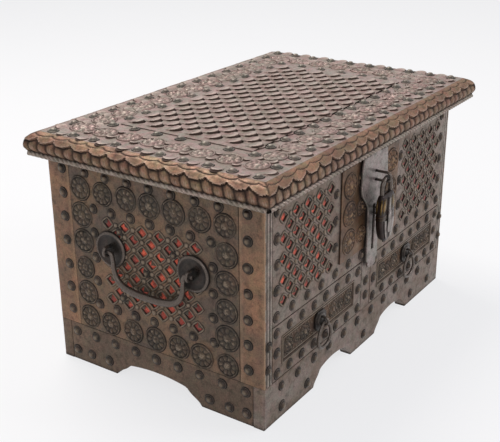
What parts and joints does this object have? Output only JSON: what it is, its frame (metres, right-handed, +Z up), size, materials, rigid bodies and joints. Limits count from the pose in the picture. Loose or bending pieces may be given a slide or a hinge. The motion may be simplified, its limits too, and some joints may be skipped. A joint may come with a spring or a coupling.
{
  "type": "iron strongbox",
  "caption": "Iron-clad strongbox with a hinged moulded lid, hasp and padlock, pierced panels over red cloth, drop handles on the ends and two drawers with rings below.",
  "frame": {"origin": "centre of the whole box's outline, on the floor", "axes": "+X along the front towards the right-hand end, +Y from the front to the back, +Z up"},
  "size_m": [0.4724, 0.3098, 0.2767],
  "materials": {
    "wood": "dark and dry",
    "brown_iron": "brown, rubbed",
    "grey_iron": "grey, rubbed",
    "dark_iron": "dark, worn",
    "copper_iron": "red-brown, embossed",
    "steel": "worn bright",
    "bronze": "dark, worn",
    "red_cloth": "felt"
  },
  "bodies": {
    "body": {"back_board": "wood", "front_board": "wood", "compartment_floor": "wood", "base_board": "wood", "drawer_divider": "wood", "left_end_board": "wood", "right_end_board": "wood", "plinth_front": "grey_iron", "plinth_back": "grey_iron", "plinth_left": "brown_iron", "plinth_right": "brown_iron", "back_sheet": "brown_iron", "front_sheet": "grey_iron", "front_cloth": "red_cloth", "lock_plate": "copper_iron", "left_end_sheet": "brown_iron", "right_end_sheet": "brown_iron", "left_end_cloth": "red_cloth", "right_end_cloth": "red_cloth", "corner_iron_front_left": "brown_iron", "corner_iron_front_right": "brown_iron", "corner_iron_back_left": "brown_iron", "corner_iron_back_right": "brown_iron", "left_handle_plate_front": "dark_iron", "left_handle_plate_back": "dark_iron", "right_handle_plate_front": "dark_iron", "right_handle_plate_back": "dark_iron", "left_handle_staple_front": "dark_iron", "left_handle_staple_back": "dark_iron", "right_handle_staple_front": "dark_iron", "right_handle_staple_back": "dark_iron", "left_hinge_back_leaf": "dark_iron", "right_hinge_back_leaf": "dark_iron", "left_hinge_pin": "steel", "right_hinge_pin": "steel", "keeper_staple": "dark_iron"},
    "lid": {"lid_board": "wood", "lid_moulding": "copper_iron", "lid_sheet": "copper_iron", "lid_field": "copper_iron", "left_hinge_lid_leaf": "dark_iron", "right_hinge_lid_leaf": "dark_iron", "hasp_leaf": "steel", "hasp_pin": "steel"},
    "hasp": {"hasp_plate": "steel", "hasp_eye": "steel"},
    "shackle": {"padlock_shackle": "steel"},
    "lock": {"padlock_body": "bronze"},
    "cover": {"keyhole_cover": "steel"},
    "left_handle": {"left_bail": "dark_iron"},
    "right_handle": {"right_bail": "dark_iron"},
    "left_drawer": {"left_drawer_box": "wood", "left_drawer_sheet": "grey_iron", "left_ring_plate": "dark_iron"},
    "right_drawer": {"right_drawer_box": "wood", "right_drawer_sheet": "grey_iron", "right_ring_plate": "dark_iron"},
    "left_ring": {"left_drawer_ring": "dark_iron"},
    "right_ring": {"right_drawer_ring": "dark_iron"}
  },
  "joints": [
    {"name": "lid_open", "type": "hinge", "parent": "body", "child": "lid", "pos_m": [0, 0.15138, 0.234], "axis": [-1, 0, 0], "range_deg": [0, 100]},
    {"name": "hasp_swing", "type": "hinge", "parent": "lid", "child": "hasp", "pos_m": [0, -0.13362, 0.242], "axis": [-1, 0, 0], "range_deg": [0, 85]},
    {"name": "padlock_swing", "type": "hinge", "parent": "hasp", "child": "shackle", "pos_m": [0, -0.14813, 0.212], "axis": [-1, 0, 0], "range_deg": [0, 90]},
    {"name": "padlock_drop", "type": "slide", "parent": "shackle", "child": "lock", "axis": [0, 0, -1], "range_m": [0, 0.008]},
    {"name": "keyhole_cover_turn", "type": "hinge", "parent": "lock", "child": "cover", "pos_m": [0, -0.1535, 0.1725], "axis": [0, 1, 0], "range_deg": [-70, 70]},
    {"name": "left_handle_lift", "type": "hinge", "parent": "body", "child": "left_handle", "pos_m": [-0.218, 0.00937, 0.15375], "axis": [0, 1, 0], "range_deg": [0, 150]},
    {"name": "right_handle_lift", "type": "hinge", "parent": "body", "child": "right_handle", "pos_m": [0.218, 0.00937, 0.15375], "axis": [0, -1, 0], "range_deg": [0, 150]},
    {"name": "left_drawer_slide", "type": "slide", "parent": "body", "child": "left_drawer", "axis": [0, -1, 0], "range_m": [0, 0.17]},
    {"name": "right_drawer_slide", "type": "slide", "parent": "body", "child": "right_drawer", "axis": [0, -1, 0], "range_m": [0, 0.17]},
    {"name": "left_ring_lift", "type": "hinge", "parent": "left_drawer", "child": "left_ring", "pos_m": [-0.1035, -0.13462, 0.079], "axis": [-1, 0, 0], "range_deg": [0, 100]},
    {"name": "right_ring_lift", "type": "hinge", "parent": "right_drawer", "child": "right_ring", "pos_m": [0.1035, -0.13462, 0.079], "axis": [-1, 0, 0], "range_deg": [0, 100]}
  ]
}
